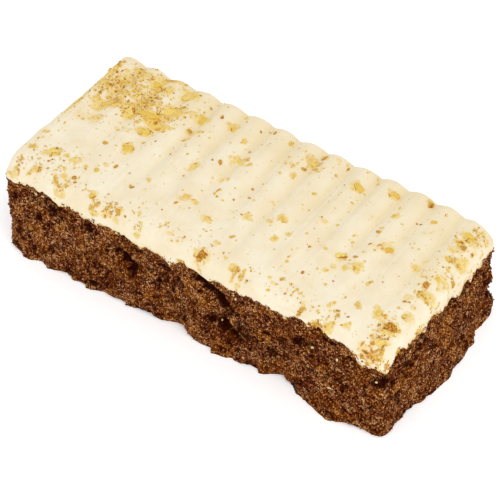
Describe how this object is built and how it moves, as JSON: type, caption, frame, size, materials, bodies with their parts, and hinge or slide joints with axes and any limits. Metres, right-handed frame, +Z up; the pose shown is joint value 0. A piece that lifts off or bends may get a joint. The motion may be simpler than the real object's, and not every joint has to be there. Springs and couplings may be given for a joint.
{
  "type": "carrot cake bar",
  "caption": "Rectangular bar of carrot cake: dark crumbly sponge under combed cream cheese icing with chopped walnuts, for a plate or a display",
  "frame": {"origin": "middle of the footprint, on the surface that the bar stands on", "axes": "+X along the bar, +Y across it towards the back edge, +Z up"},
  "size_m": [0.1258, 0.059, 0.0329],
  "materials": {
    "sponge": "dark brown carrot cake crumb with tan grains and near-black pores, dull with a few moist glints",
    "icing": "soft cream cheese icing, warm ivory, satin, combed into ridges and dotted with pale yellow and brown walnut"
  },
  "bodies": {
    "root": {"sponge": "sponge", "icing": "icing"}
  },
  "joints": []
}
